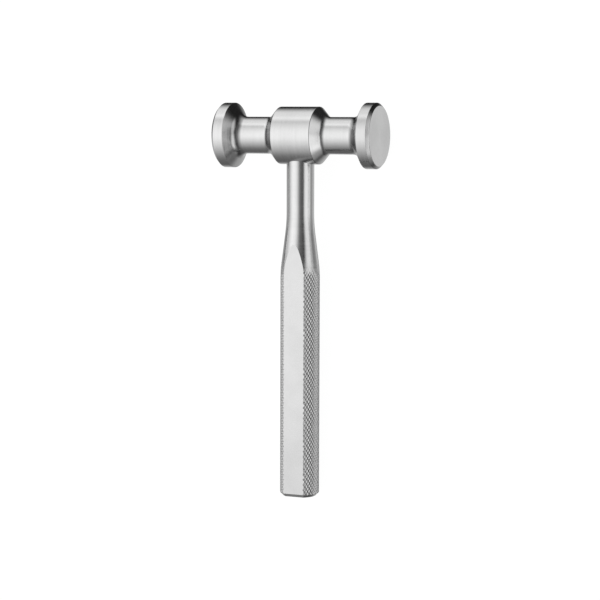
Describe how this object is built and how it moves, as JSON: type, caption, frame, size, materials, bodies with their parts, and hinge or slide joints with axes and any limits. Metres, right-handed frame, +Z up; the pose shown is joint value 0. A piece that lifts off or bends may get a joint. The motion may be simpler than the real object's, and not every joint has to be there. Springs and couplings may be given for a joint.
{
  "type": "surgical mallet",
  "caption": "All-steel surgical mallet: turned head with a flat disc face at each end and a drum between two necks, on a handle that flares into a knurled grip with smooth flats",
  "frame": {"origin": "on the floor, under the middle of the whole object's box", "axes": "+X along the head's axis, out of one striking face; +Y from the tail of the handle towards the head; +Z up. The mallet lies as it comes to rest, on the rims of both faces and on the tail of the handle"},
  "size_m": [0.0776, 0.1822, 0.03],
  "materials": {
    "head_steel": "satin turned stainless steel",
    "handle_steel": "satin stainless steel, knurled on the round sides of the grip"
  },
  "bodies": {
    "root": {"head": "head_steel", "handle": "handle_steel"}
  },
  "joints": []
}
